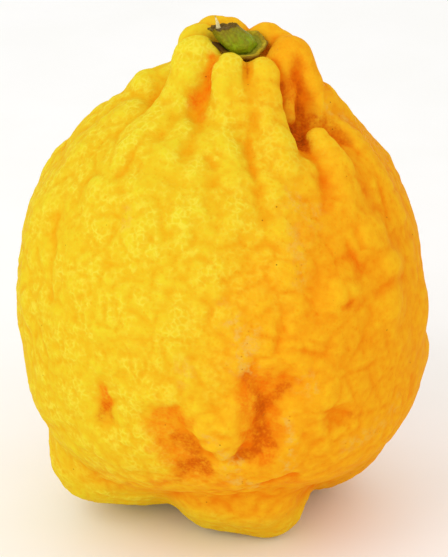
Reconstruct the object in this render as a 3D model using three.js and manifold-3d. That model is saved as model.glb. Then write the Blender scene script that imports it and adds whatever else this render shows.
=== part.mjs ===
// A citron: one knobbly yellow fruit with a collar of knuckles round its stem pit, ribs running down
// from the collar, sunken pits low on its front and a blunt nipple underneath that it stands on.
// Three pieces, one node each: the fruit, the calyx disc in the stem pit, and the cut stem stub.
// Millimetres, +Z up. The front, with the deepest pits, faces -Y. The fruit rests on z = 0.
import * as THREE from "three";
import { mergeVertices } from "three/addons/utils/BufferGeometryUtils.js";
import Module from "manifold-3d";

const wasm = await Module();
wasm.setup();

// ---- Driving dimensions -------------------------------------------------------------------------

// Body: radii from its centre on each side, every 30 degrees of latitude from -90 up to 90.
const bodyCentre = new THREE.Vector3(0, 0, 70);
const outlineStep = 30;
const outlineLeft = [67, 65, 64.4, 60.4, 65.8, 69.6, 69];
const outlineRight = [67, 63, 65.4, 60.8, 64.4, 69.8, 69];
const outlineFront = [67, 56.5, 61, 60, 62.5, 67, 69];
const outlineBack = [67, 65, 63, 60, 62.5, 67, 69];

// Stem pit, in the middle of the collar.
const stemPit = { at: [6.6, 0.6, 159], radii: [8.4, 7.2, 7.6] };

// Calyx disc: its middle, the way it faces, and its size.
const calyxMiddle = new THREE.Vector3(6.8, 0.4, 152.6);
const calyxFacing = new THREE.Vector3(-0.12, -0.32, 0.94).normalize();
const calyxRadius = 6.3;
const calyxFront = 0.9;
const calyxBack = 1.7;
const seatGap = 0.35;

// Stem stub: stations along its middle, as [x, y, z, radius], the way its cut end faces, and the torn
// fibre on that end.
const stemLine = [
  [6.2, 0.2, 154.1, 4],
  [5, -0.4, 155, 4.4],
  [3.9, -0.6, 155.7, 4.5],
  [2.8, -0.5, 156.5, 4.4],
  [1.4, 0, 157.8, 4.2],
  [0.4, 0.4, 158.8, 4.1],
];
const stemEndFacing = new THREE.Vector3(-0.15, 0.1, 0.98).normalize();
const stemSides = 20;
const fibreLine = [
  [-1, 0.2, 158.2, 0.8],
  [-1.4, 0.4, 160.2, 0.5],
  [-2, 0.6, 162, 0.2],
];
const fibreSides = 8;

// Knuckles of the collar: chains of balls, as [x, y, z, radius].
const collarKnuckles = [
  [
    [-6, -3, 152.8, 4.3], [-8.1, -2.7, 149.6, 6], [-8.7, -5.8, 145.3, 6.8], [-12.4, -8.2, 140.6, 5.6],
    [-16, -11, 136.4, 4.8],
  ],
  [[-3.9, -6.2, 149, 4.9], [-5.8, -8.4, 145, 4.9], [-8.6, -10, 141.2, 4.7], [-12, -12.5, 137.6, 4.4]],
  [[-13, 8, 138, 7], [-20.1, 7, 135.8, 7.5]],
  [[-7.2, 6, 151.4, 5.5], [-2.6, 12, 150.6, 5.9], [2.7, 13, 149.6, 5.9]],
  [[-6.6, 6.6, 150.8, 5.2], [-7.8, 9.4, 146.6, 5.2], [-9.4, 12.4, 141.6, 5]],
  [[-2.6, 12.4, 150, 5.6], [-3.6, 14.6, 146.6, 5.5], [-4.6, 17, 141.4, 5.2]],
  [[2.7, 13.4, 149, 5.6], [2.9, 15.4, 146, 5.5], [2.8, 17.4, 141, 5.2]],
  [[13.1, 9.5, 150.4, 6], [17.3, 6, 149.8, 5.2]],
  [[13.1, 10, 149.8, 5.8], [12.6, 12.6, 146, 5.6], [11.6, 15.2, 141, 5.4]],
  [[16.9, 6.4, 149.4, 5], [18.4, 7.8, 145.6, 5.2], [19.8, 9.4, 140.6, 5.2]],
  [[18, -3, 148.3, 6.1], [19.7, -0.4, 149.1, 6.6], [21.2, -2.4, 143.4, 7]],
  [[18.4, -4.6, 146.4, 4.6], [20.6, -5, 145.4, 4.8]],
  [[19.8, -7, 143.6, 3], [20.3, -10, 138.8, 3]],
  [[25.1, -4, 141.6, 4.3], [26.3, -5, 136.4, 4.9]],
  [[27.4, 0, 135.1, 7], [31.6, 2, 129.3, 6.6]],
  [
    [2, -11, 148.9, 5], [2.1, -13, 146.2, 5], [3.2, -14.2, 143.5, 5.4], [2.2, -17, 139.2, 5.1],
    [1, -20.6, 134.8, 4.6], [-0.5, -25, 130.2, 4.4],
  ],
  [[4.3, -10.2, 147.8, 4.6], [4.4, -12.2, 145.2, 4.8], [4.8, -14.4, 142.2, 5.2]],
  [[9, -10, 147.2, 4.4], [9, -13, 144, 4.8], [9.2, -15.4, 140.4, 5.4]],
  [[-1.4, -14.4, 141.6, 3.8], [-2.4, -16.2, 138.6, 4], [-3.2, -19.6, 134.8, 4]],
  [[6.9, -16.6, 138.4, 6], [6.8, -21, 132.5, 5.6]],
];
const collarCore = { at: [5.5, -1, 138], radii: [20, 19, 13] };

// Ribs: [longitude, latitude, radius, rise above the body] along each. Longitude 0 is the front.
const ribs = [
  [[-49, 71, 6, 3.6], [-51, 65, 6.5, 2.6], [-50, 58, 7, 1.8], [-49, 51, 8, 1.1], [-48, 44, 9, 0.5]],
  [[-27, 71, 6, 3], [-29, 62, 8.5, 2.3], [-31, 55, 9.5, 1.6], [-30, 47, 10, 1], [-29, 41, 10, 0.5]],
  [[-9, 69, 5.5, 2.4], [-10, 63, 7.5, 2], [-12, 57, 9, 1.5], [-13, 51, 9.5, 0.9]],
  [[4, 69, 6, 3.2], [4, 63, 7.5, 2.1], [5, 57, 8.5, 1.4], [7, 50, 9, 0.7]],
  [[26, 67, 8, 3.1], [25.5, 60, 9.5, 2.2], [25, 53, 10, 1.5], [23, 45, 10, 0.9], [21, 38, 10, 0.4]],
  [[37, 57, 5.5, 1.5], [34, 52, 6, 1]],
  [[60, 64, 6, 2.2], [56, 59, 7, 2], [53, 53, 7.5, 1.6], [50, 46, 8, 1.2], [48, 40, 9, 0.6]],
  [[84, 71, 6.5, 3], [77, 63, 7, 2.2], [76, 55, 7.5, 1.6], [73, 46, 8, 1.2], [72, 38, 9, 0.8]],
  [[-82, 68, 8, 2.4], [-78, 54, 9, 0.4], [-76, 36, 10, 0.4], [-72, 12, 11, 0.4]],
  [[-112, 79, 8, 6], [-108, 69, 9, 3.6], [-106, 58, 9, 1.2], [-104, 42, 10, 0.2]],
  [[-140, 73, 8, 4.6], [-138, 60, 8, 2], [-134, 44, 10, 1.4], [-130, 22, 12, 0.8]],
  [[-166, 74, 7, 4.6], [-164, 60, 8, 2.4], [-162, 42, 10, 1.2]],
  [[172, 75, 7, 4.6], [168, 60, 8, 2.2], [166, 44, 10, 1.6], [168, 18, 12, 0.8]],
  [[146, 73, 7, 4.4], [144, 58, 9, 2.2], [140, 40, 10, 1.2]],
  [[116, 71, 7, 3], [112, 58, 8, 1.4], [110, 42, 10, 1.2], [106, 18, 12, 0.8]],
];

// Swellings on the flanks: [longitude, latitude, radius, rise].
const swellings = [
  [53, 36, 10, 1.8],
  [58, 27, 8, 1.2],
  [54, 16, 10, 1.5],
  [36, 25, 9, 0.9],
  [4, -10, 9, 1.4],
  [-20, -3, 12, 0.8],
  [28, -6, 13, 0.8],
  [78, 4, 14, 1],
  [-86, 2, 16, 0.2],
  [90, -16, 10, 0.8],
  [-150, 0, 18, 1],
  [150, -6, 18, 1.2],
];

// Soft hollows: [longitude, latitude, radius, depth below the surface round them] along each.
const hollows = [
  [
    [52, 77, 2, 0.6], [51, 75, 2.2, 1.8], [48, 72, 2.6, 3], [49, 70, 3.4, 3.6], [51, 68, 4.2, 3.6],
    [50, 65, 4, 2.8], [48, 61.5, 3, 1],
  ],
  [[67, 72.5, 2.2, 0.6], [63, 71, 2.6, 1.6], [61, 69, 3, 2.4], [59, 66, 3.4, 2.8]],
  [[57, 66, 3.4, 2.4], [62, 63, 3, 1.8], [69, 59.5, 3, 0.9]],
  [
    [-15, 81.5, 2, 0.6], [-20, 79.5, 2.6, 1.1], [-24, 77.5, 3.2, 1.2], [-20, 75.5, 3.2, 1],
    [-17, 73.5, 2.8, 0.5],
  ],
  [[-35, -4, 4.5, 0.6], [-34.5, -8, 4.5, 1.3], [-35, -12, 4.5, 0.6]],
  [[-18, -8, 6, 1.2], [-15, -13, 7, 1.6], [-11, -20, 7, 1.8], [-9, -26, 7, 1]],
  [[-12, -7, 4, 0.8], [-9, -11, 4, 1.3], [-6, -16, 4, 1.3], [-4, -20, 4, 0.8]],
  [[9, -9, 4, 0.9], [7, -13, 4, 1.4], [4.5, -17, 4, 1.2]],
  [[8, 5, 6, 0.6], [9.4, -1, 6, 1.2], [11, -7, 6.5, 1.9], [11.3, -13, 8, 2.5], [9, -17, 7, 1.6]],
  [[17, 3, 5, 0.5], [14, 0, 5.5, 1], [11.5, -3, 6, 1.4]],
  [[34, -11, 3.5, 0.6]],
];

// Parts that lap over the hollows beside them, as [x, y, z, radius].
const overlapKnuckles = [
  [
    [-4.6, -3.4, 151.6, 3.6], [-7.6, -2.9, 151, 5.6], [-8.1, -4, 148, 6.3], [-8.4, -5.6, 145.4, 6.2],
    [-9.6, -6.8, 142.6, 4.8],
  ],
  [[2, -11, 148.9, 5.1], [2.1, -13.2, 146.2, 5.1], [2.6, -14.2, 143.6, 4.6], [3, -14.4, 141, 3.6]],
  [
    [11.4, -10.8, 147.8, 5.2], [11.4, -13.6, 144, 5.3], [11.6, -15.8, 140, 5.5], [13, -19.2, 135, 5.9],
    [15.2, -24, 130.4, 6.4], [16.6, -29, 125.6, 6.2],
  ],
  [[19.2, -6, 143.3, 2.8], [19.2, -8.5, 138.7, 2.8], [19.4, -10.6, 135.2, 2.6]],
  [
    [27.4, -16.9, 130.6, 4.1], [28.8, -19.3, 127.8, 5.1], [30.4, -22, 123.4, 6.2],
    [32.1, -25.2, 116.9, 7], [33.2, -28.2, 109.4, 7.2],
  ],
];

// The tongue between the low pits laps over them too: [longitude, latitude, radius, rise].
const overlapRibs = [
  [[-7, -4, 8, 0.3], [-4, -10, 7, 0.9], [-1.5, -15, 5.5, 1.2], [0.5, -18.5, 4, 1]],
  [[4.5, -3, 8, 0.3], [2.6, -9, 7, 0.9], [2.2, -14, 5, 1.1]],
];

// Blossom end: the nipple, and the lobes that share its footing, as [x, y, z, radius].
const nipple = [
  [[-2, -12.4, 13.4, 12], [13.2, -13.8, 12.3, 13]],
  [[-2.4, -22, 21.2, 11.6], [10, -23, 21, 12.2]],
];
const footLobes = [
  [-37.2, -4, 22.4, 15.6],
  [-28, -2.5, 27.4, 18.8],
  [-25, 10, 22.3, 22.6],
  [29.8, 12, 28, 23.6],
  [18, 20, 25.7, 26],
];

// How softly shapes flow together, as the width of the blend.
const bodyBlend = 4;
const knuckleBlend = 2;
const hollowBlend = 5;
const overlapBlend = 1.2;
const nippleBlend = 6;
const lobeBlend = 8;
const pitBlend = 2;
const seatBlend = 0.8;

// Mesh of the fruit: rays leave an upright post in its middle, those that point upwards from higher up.
// There are spokes round the post, and bands of rings as [from latitude, to latitude, rings].
const spokes = 84;
const ringBands = [[90, 38, 27], [38, -42, 23], [-42, -90, 17]];
const postMiddle = new THREE.Vector3(6, 0, 72);
const postHalf = 42;
const searchRadius = 110;

// ---- The fruit's surface, as a signed distance that is negative inside ---------------------------

const degrees = Math.PI / 180;

function direction(longitude, latitude) {
  const across = Math.cos(latitude * degrees);
  return new THREE.Vector3(
    across * Math.sin(longitude * degrees),
    -across * Math.cos(longitude * degrees),
    Math.sin(latitude * degrees),
  );
}

// A smooth curve through evenly spaced values, read at a latitude.
function readOutline(values, latitude) {
  const place = (latitude + 90) / outlineStep;
  const i = Math.min(Math.floor(place), values.length - 2);
  const t = place - i;
  const at = (k) => values[k < 0 ? 1 : k >= values.length ? values.length - 2 : k];
  const [a, b, c, d] = [at(i - 1), at(i), at(i + 1), at(i + 2)];
  return 0.5 * (2 * b + (c - a) * t + (2 * a - 5 * b + 4 * c - d) * t * t
    + (3 * b - a - 3 * c + d) * t * t * t);
}

// Radius of the plain body along a direction.
function bodyRadius(way) {
  const latitude = Math.asin(THREE.MathUtils.clamp(way.z, -1, 1)) / degrees;
  const left = readOutline(outlineLeft, latitude);
  const right = readOutline(outlineRight, latitude);
  const across = Math.max(Math.hypot(way.x, way.y), 1e-9);
  const side = way.x > 0 ? right : left;
  const deep = readOutline(way.y > 0 ? outlineBack : outlineFront, latitude);
  return 1 / Math.hypot(way.x / across / side, way.y / across / deep);
}

// The ball whose outermost point stands the given rise above the body.
function ballOn([longitude, latitude, radius, rise]) {
  const way = direction(longitude, latitude);
  const centre = way.clone().multiplyScalar(bodyRadius(way) + rise - radius).add(bodyCentre);
  return { centre, radius };
}

// The ball that reaches the given depth below the surface of the fruit before its hollows are cut.
function ballInto([longitude, latitude, radius, depth]) {
  const way = direction(longitude, latitude);
  const point = new THREE.Vector3();
  let reach = searchRadius;
  for (let i = 0; i < 80; i += 1) {
    point.copy(way).multiplyScalar(reach).add(bodyCentre);
    reach -= Math.max(0.7 * plumpDistance(point), 0);
  }
  return { centre: way.multiplyScalar(reach + radius - depth).add(bodyCentre), radius };
}

function plainBall([x, y, z, radius]) {
  return { centre: new THREE.Vector3(x, y, z), radius };
}

// Distance to a chain of balls joined by straight cones.
const along = new THREE.Vector3();
const offset = new THREE.Vector3();
function chainDistance(point, balls) {
  if (balls.length === 1) return point.distanceTo(balls[0].centre) - balls[0].radius;
  let nearest = Infinity;
  for (let i = 0; i + 1 < balls.length; i += 1) {
    const [a, b] = [balls[i], balls[i + 1]];
    along.subVectors(b.centre, a.centre);
    offset.subVectors(point, a.centre);
    const t = THREE.MathUtils.clamp(offset.dot(along) / along.lengthSq(), 0, 1);
    offset.addScaledVector(along, -t);
    nearest = Math.min(nearest, offset.length() - a.radius - t * (b.radius - a.radius));
  }
  return nearest;
}

function ellipsoidDistance(point, { at, radii }) {
  const scaled = Math.hypot(
    (point.x - at[0]) / radii[0],
    (point.y - at[1]) / radii[1],
    (point.z - at[2]) / radii[2],
  );
  return (scaled - 1) * Math.min(...radii);
}

function join(a, b, blend) {
  const near = Math.max(blend - Math.abs(a - b), 0) / blend;
  return Math.min(a, b) - (near * near * blend) / 4;
}

function cut(a, b, blend) {
  return -join(-a, b, blend);
}

const knuckleChains = collarKnuckles.map((chain) => chain.map(plainBall));
const ribChains = ribs.map((chain) => chain.map(ballOn));
const swellingChains = swellings.map((ball) => [ballOn(ball)]);
const nippleChains = nipple.map((chain) => chain.map(plainBall));
const footChains = footLobes.map((ball) => [plainBall(ball)]);
const overlapChains = [
  ...overlapKnuckles.map((chain) => chain.map(plainBall)),
  ...overlapRibs.map((chain) => chain.map(ballOn)),
];

// The seat that the calyx sits in: a round socket, open the way the calyx faces.
function seatDistance(point) {
  offset.subVectors(point, calyxMiddle);
  const height = offset.dot(calyxFacing);
  const away = Math.sqrt(Math.max(offset.lengthSq() - height * height, 0));
  return Math.max(away - calyxRadius - seatGap, -height - calyxBack - seatGap, height - 9);
}

// The fruit before its hollows are cut.
const way = new THREE.Vector3();
function plumpDistance(point) {
  way.subVectors(point, bodyCentre);
  const reach = way.length();
  way.divideScalar(reach);
  let distance = reach - bodyRadius(way);
  for (const chain of footChains) distance = join(distance, chainDistance(point, chain), lobeBlend);
  for (const chain of nippleChains) distance = join(distance, chainDistance(point, chain), nippleBlend);
  for (const chain of swellingChains) distance = join(distance, chainDistance(point, chain), bodyBlend);
  let raised = ellipsoidDistance(point, collarCore);
  for (const chain of ribChains) raised = join(raised, chainDistance(point, chain), knuckleBlend);
  for (const chain of knuckleChains) raised = join(raised, chainDistance(point, chain), knuckleBlend);
  return join(distance, raised, bodyBlend);
}

const hollowChains = hollows.map((chain) => chain.map(ballInto));

function fruitDistance(point) {
  let distance = plumpDistance(point);
  for (const chain of hollowChains) distance = cut(distance, chainDistance(point, chain), hollowBlend);
  for (const chain of overlapChains) distance = join(distance, chainDistance(point, chain), overlapBlend);
  distance = cut(distance, ellipsoidDistance(point, stemPit), pitBlend);
  distance = cut(distance, seatDistance(point), seatBlend);
  return Math.max(distance, -point.z);
}

// ---- Meshes -------------------------------------------------------------------------------------

function closedGeometry(positions, indices) {
  const geometry = new THREE.BufferGeometry();
  geometry.setAttribute("position", new THREE.Float32BufferAttribute(positions, 3));
  geometry.setIndex(indices);
  return geometry;
}

// Triangles over rings of equal size, with a single point closing each end.
function ringIndices(ringCount, sides) {
  const indices = [];
  const first = 0;
  const last = 1 + ringCount * sides;
  const vertex = (ring, side) => 1 + ring * sides + (side % sides);
  for (let side = 0; side < sides; side += 1) {
    indices.push(first, vertex(0, side), vertex(0, side + 1));
    indices.push(last, vertex(ringCount - 1, side + 1), vertex(ringCount - 1, side));
    for (let ring = 0; ring + 1 < ringCount; ring += 1) {
      const [a, b] = [vertex(ring, side), vertex(ring, side + 1)];
      const [c, d] = [vertex(ring + 1, side), vertex(ring + 1, side + 1)];
      indices.push(a, c, d, a, d, b);
    }
  }
  return indices;
}

// Where a ray from the post leaves the surface of the fruit, searched from outside inwards.
function surfacePoint(longitude, latitude) {
  const ray = direction(longitude, latitude);
  const root = new THREE.Vector3(0, 0, postHalf * ray.z).add(postMiddle);
  const point = new THREE.Vector3();
  const probe = (reach) => fruitDistance(point.copy(ray).multiplyScalar(reach).add(root));
  let outside = searchRadius;
  let inside = outside;
  let value = probe(outside);
  while (value > 0) {
    outside = inside;
    inside -= Math.max(0.25, value * 0.5);
    value = probe(inside);
  }
  for (let i = 0; i < 24; i += 1) {
    const middle = (inside + outside) / 2;
    if (probe(middle) > 0) outside = middle;
    else inside = middle;
  }
  probe(inside);
  if (point.z < 0.02) point.z = 0; // the footing is truly flat
  return point;
}

function fruitGeometry() {
  const latitudes = [];
  for (const [from, to, rings] of ringBands) {
    for (let i = 0; i < rings; i += 1) latitudes.push(from + ((to - from) * i) / rings);
  }
  latitudes.shift();
  const positions = [...surfacePoint(0, 90).toArray()];
  for (const latitude of latitudes) {
    for (let i = 0; i < spokes; i += 1) {
      positions.push(...surfacePoint((i * 360) / spokes, latitude).toArray());
    }
  }
  positions.push(...surfacePoint(0, -90).toArray());
  return closedGeometry(positions, ringIndices(latitudes.length, spokes));
}

// A bent round bar with a radius of its own at each station and flat ends. Its rings turn from facing
// one way at the first station to another at the last. It can be grown all round by a gap.
function barGeometry(stations, sides, firstFacing, lastFacing, gap = 0) {
  const curve = new THREE.CatmullRomCurve3(stations.map(([x, y, z]) => new THREE.Vector3(x, y, z)));
  const steps = (stations.length - 1) * 3;
  const positions = [...curve.getPoint(0).toArray()];
  const facing = new THREE.Vector3();
  const across = new THREE.Vector3();
  const up = new THREE.Vector3();
  for (let step = 0; step <= steps; step += 1) {
    const t = step / steps;
    const place = t * (stations.length - 1);
    const i = Math.min(Math.floor(place), stations.length - 2);
    const radius = THREE.MathUtils.lerp(stations[i][3], stations[i + 1][3], place - i) + gap;
    const middle = curve.getPoint(t);
    facing.lerpVectors(firstFacing, lastFacing, THREE.MathUtils.smoothstep(t, 0.1, 0.95)).normalize();
    across.set(1, 0, 0).addScaledVector(facing, -facing.x).normalize();
    up.crossVectors(facing, across);
    for (let side = 0; side < sides; side += 1) {
      const turn = (side * 2 * Math.PI) / sides;
      const rim = middle.clone();
      rim.addScaledVector(across, Math.cos(turn) * radius);
      rim.addScaledVector(up, Math.sin(turn) * radius);
      positions.push(...rim.toArray());
    }
  }
  positions.push(...curve.getPoint(1).toArray());
  return closedGeometry(positions, ringIndices(steps + 1, sides));
}

function solid(geometry) {
  const plain = new THREE.BufferGeometry();
  plain.setAttribute("position", geometry.getAttribute("position"));
  if (geometry.index) plain.setIndex(geometry.index);
  const merged = mergeVertices(plain, 1e-4);
  const made = new wasm.Manifold(new wasm.Mesh({
    numProp: 3,
    vertProperties: merged.attributes.position.array,
    triVerts: new Uint32Array(merged.index.array),
  }));
  if (made.volume() > 0) return made;
  const triVerts = new Uint32Array(merged.index.array).reverse();
  const vertProperties = merged.attributes.position.array;
  return new wasm.Manifold(new wasm.Mesh({ numProp: 3, vertProperties, triVerts }));
}

function geometryOf(manifold) {
  const { vertProperties, triVerts } = manifold.getMesh();
  return closedGeometry([...vertProperties], [...triVerts]);
}

const calyxTurn = new THREE.Quaternion().setFromUnitVectors(new THREE.Vector3(0, 1, 0), calyxFacing);

// The calyx is a shallow saucer turned about the way it faces. Its seat is the same shape, grown by a gap.
function calyxGeometry(gap) {
  const radius = calyxRadius + gap;
  const back = -calyxBack - gap;
  const front = calyxFront + gap;
  const profile = [
    [0, back],
    [radius * 0.5, back * 0.9],
    [radius * 0.88, back * 0.35],
    [radius, front * 0.35],
    [radius * 0.96, front * 1.1],
    [radius * 0.84, front * 1.2],
    [radius * 0.7, front * 0.7],
    [0, front * 0.6],
  ];
  return new THREE.LatheGeometry(profile.map(([out, height]) => new THREE.Vector2(out, height)), 32);
}

function mesh(name, geometry, colour, roughness) {
  const material = new THREE.MeshStandardMaterial({ color: colour, roughness, metalness: 0 });
  const made = new THREE.Mesh(geometry, material);
  made.name = name;
  return made;
}

const seat = calyxGeometry(seatGap).applyQuaternion(calyxTurn).translate(...calyxMiddle.toArray());
const stemRoom = barGeometry(stemLine, stemSides, calyxFacing, stemEndFacing, seatGap);
const fruitSolid = solid(fruitGeometry()).subtract(solid(seat)).subtract(solid(stemRoom));
const fruit = mesh("citron_fruit", geometryOf(fruitSolid), 0xf6b81c, 0.5);

const calyx = mesh("calyx", geometryOf(solid(calyxGeometry(0))), 0x8f8a3a, 0.75);
calyx.position.copy(calyxMiddle);
calyx.quaternion.copy(calyxTurn);

const stemBar = solid(barGeometry(stemLine, stemSides, calyxFacing, stemEndFacing));
const fibre = solid(barGeometry(fibreLine, fibreSides, stemEndFacing, stemEndFacing));
const stem = stemBar.add(fibre);
const stemStub = mesh("stem_stub", geometryOf(stem), 0x7f8f1c, 0.65);

const citron = new THREE.Group();
citron.name = "citron";
citron.add(fruit, calyx, stemStub);

export default citron;
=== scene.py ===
# A whole knobbly citron: rind, calyx disc, green stem stub and its torn fibre, on a pale table.
# The shape is worked out in millimetres, +Z up, front towards -Y, and turned into metres at the end.
import math
import bpy
import numpy as np
import openvdb
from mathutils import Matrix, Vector, noise


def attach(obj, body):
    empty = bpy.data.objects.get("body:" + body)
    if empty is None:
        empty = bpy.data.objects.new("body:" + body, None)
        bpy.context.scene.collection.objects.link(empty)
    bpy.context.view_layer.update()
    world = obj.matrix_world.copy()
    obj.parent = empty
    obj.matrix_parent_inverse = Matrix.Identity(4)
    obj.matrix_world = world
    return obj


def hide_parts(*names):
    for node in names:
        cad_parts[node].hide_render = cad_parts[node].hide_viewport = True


print("loading the frame")
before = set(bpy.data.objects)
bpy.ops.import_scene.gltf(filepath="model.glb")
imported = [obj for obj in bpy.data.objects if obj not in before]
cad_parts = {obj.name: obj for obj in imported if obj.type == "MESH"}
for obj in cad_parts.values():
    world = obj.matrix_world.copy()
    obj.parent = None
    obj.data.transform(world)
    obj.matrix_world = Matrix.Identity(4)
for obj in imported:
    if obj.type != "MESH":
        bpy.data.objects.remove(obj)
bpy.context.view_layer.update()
metre = 0.001  # one millimetre in metres

# What a user would change about the fruit's form. Chains are lists of balls, joined like a string of beads.
citronForm = {
    "bodyCentre": (0, 0, 70),
    "outlines": {  # radius every 30 degrees of latitude, from -90 to 90
        "left": (67, 65, 64.4, 60.4, 65.8, 69.6, 69),
        "right": (67, 63, 65.4, 60.8, 64.4, 69.8, 69),
        "front": (67, 56.5, 61, 60, 62.5, 67, 69),
        "back": (67, 65, 63, 60, 62.5, 67, 69),
    },
    "collarCore": ((5.5, -1, 138), (20, 19, 13)),
    "stemPit": ((6.6, 0.6, 159), (8.4, 7.2, 7.6)),
    "calyxSeat": ((6.8, 0.4, 152.6), (-0.12, -0.32, 0.94), 6.7, 2.05),  # middle, facing, radius, depth
    "bodyBlend": 4,
    "knuckleBlend": 2,
    "hollowBlend": 5,
    "overlapBlend": 1.2,
    "nippleBlend": 6,
    "lobeBlend": 8,
    "pitBlend": 2,
    "seatBlend": 0.8,
    "seatOpening": 9,  # how far above its middle the calyx seat stays open
    "voxel": 0.93,
    "fieldLow": (-68.0, -67.0, -4.0),  # the corner and the size of the box that holds the fruit
    "fieldSize": (136.0, 133.0, 168.0),
    "usualRadius": 68,
}

# Knuckles of the collar round the stem pit: x, y, z, radius.
collarKnuckles = [
    [(-6, -3, 152.8, 4.3), (-8.1, -2.7, 149.6, 6), (-8.7, -5.8, 145.3, 6.8), (-12.4, -8.2, 140.6, 5.6),
     (-16, -11, 136.4, 4.8)],
    [(-3.9, -6.2, 149, 4.9), (-5.8, -8.4, 145, 4.9), (-8.6, -10, 141.2, 4.7), (-12, -12.5, 137.6, 4.4)],
    [(-13, 8, 138, 7), (-20.1, 7, 135.8, 7.5)],
    [(-7.2, 6, 151.4, 5.5), (-2.6, 12, 150.6, 5.9), (2.7, 13, 149.6, 5.9)],
    [(-6.6, 6.6, 150.8, 5.2), (-7.8, 9.4, 146.6, 5.2), (-9.4, 12.4, 141.6, 5)],
    [(-2.6, 12.4, 150, 5.6), (-3.6, 14.6, 146.6, 5.5), (-4.6, 17, 141.4, 5.2)],
    [(2.7, 13.4, 149, 5.6), (2.9, 15.4, 146, 5.5), (2.8, 17.4, 141, 5.2)],
    [(13.1, 9.5, 150.4, 6), (17.3, 6, 149.8, 5.2)],
    [(13.1, 10, 149.8, 5.8), (12.6, 12.6, 146, 5.6), (11.6, 15.2, 141, 5.4)],
    [(16.9, 6.4, 149.4, 5), (18.4, 7.8, 145.6, 5.2), (19.8, 9.4, 140.6, 5.2)],
    [(18, -3, 148.3, 6.1), (19.7, -0.4, 149.1, 6.6), (21.2, -2.4, 143.4, 7)],
    [(18.4, -4.6, 146.4, 4.6), (20.6, -5, 145.4, 4.8)],
    [(19.8, -7, 143.6, 3), (20.3, -10, 138.8, 3)],
    [(25.1, -4, 141.6, 4.3), (26.3, -5, 136.4, 4.9)],
    [(27.4, 0, 135.1, 7), (31.6, 2, 129.3, 6.6)],
    [(2, -11, 148.9, 5), (2.1, -13, 146.2, 5), (3.2, -14.2, 143.5, 5.4), (2.2, -17, 139.2, 5.1),
     (1, -20.6, 134.8, 4.6), (-0.5, -25, 130.2, 4.4)],
    [(4.3, -10.2, 147.8, 4.6), (4.4, -12.2, 145.2, 4.8), (4.8, -14.4, 142.2, 5.2)],
    [(9, -10, 147.2, 4.4), (9, -13, 144, 4.8), (9.2, -15.4, 140.4, 5.4)],
    [(-1.4, -14.4, 141.6, 3.8), (-2.4, -16.2, 138.6, 4), (-3.2, -19.6, 134.8, 4)],
    [(6.9, -16.6, 138.4, 6), (6.8, -21, 132.5, 5.6)],
]

# Ribs that run down from the collar: longitude, latitude, radius, rise above the body.
ribs = [
    [(-49, 71, 6, 3.6), (-51, 65, 6.5, 2.6), (-50, 58, 7, 1.8), (-49, 51, 8, 1.1), (-48, 44, 9, 0.5)],
    [(-27, 71, 6, 3), (-29, 62, 8.5, 2.3), (-31, 55, 9.5, 1.6), (-30, 47, 10, 1), (-29, 41, 10, 0.5)],
    [(-9, 69, 5.5, 2.4), (-10, 63, 7.5, 2), (-12, 57, 9, 1.5), (-13, 51, 9.5, 0.9)],
    [(4, 69, 6, 3.2), (4, 63, 7.5, 2.1), (5, 57, 8.5, 1.4), (7, 50, 9, 0.7)],
    [(26, 67, 8, 3.1), (25.5, 60, 9.5, 2.2), (25, 53, 10, 1.5), (23, 45, 10, 0.9), (21, 38, 10, 0.4)],
    [(37, 57, 5.5, 1.5), (34, 52, 6, 1)],
    [(60, 64, 6, 2.2), (56, 59, 7, 2), (53, 53, 7.5, 1.6), (50, 46, 8, 1.2), (48, 40, 9, 0.6)],
    [(84, 71, 6.5, 3), (77, 63, 7, 2.2), (76, 55, 7.5, 1.6), (73, 46, 8, 1.2), (72, 38, 9, 0.8)],
    [(-82, 68, 8, 2.4), (-78, 54, 9, 0.4), (-76, 36, 10, 0.4), (-72, 12, 11, 0.4)],
    [(-112, 79, 8, 6), (-108, 69, 9, 3.6), (-106, 58, 9, 1.2), (-104, 42, 10, 0.2)],
    [(-140, 73, 8, 4.6), (-138, 60, 8, 2), (-134, 44, 10, 1.4), (-130, 22, 12, 0.8)],
    [(-166, 74, 7, 4.6), (-164, 60, 8, 2.4), (-162, 42, 10, 1.2)],
    [(172, 75, 7, 4.6), (168, 60, 8, 2.2), (166, 44, 10, 1.6), (168, 18, 12, 0.8)],
    [(146, 73, 7, 4.4), (144, 58, 9, 2.2), (140, 40, 10, 1.2)],
    [(116, 71, 7, 3), (112, 58, 8, 1.4), (110, 42, 10, 1.2), (106, 18, 12, 0.8)],
]

# Swellings on the flanks: longitude, latitude, radius, rise.
swellings = [
    [(53, 36, 10, 1.8)],
    [(58, 27, 8, 1.2)],
    [(54, 16, 10, 1.5)],
    [(36, 25, 9, 0.9)],
    [(4, -10, 9, 1.4)],
    [(-20, -3, 12, 0.8)],
    [(28, -6, 13, 0.8)],
    [(78, 4, 14, 1)],
    [(-86, 2, 16, 0.2)],
    [(90, -16, 10, 0.8)],
    [(-150, 0, 18, 1)],
    [(150, -6, 18, 1.2)],
]

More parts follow.
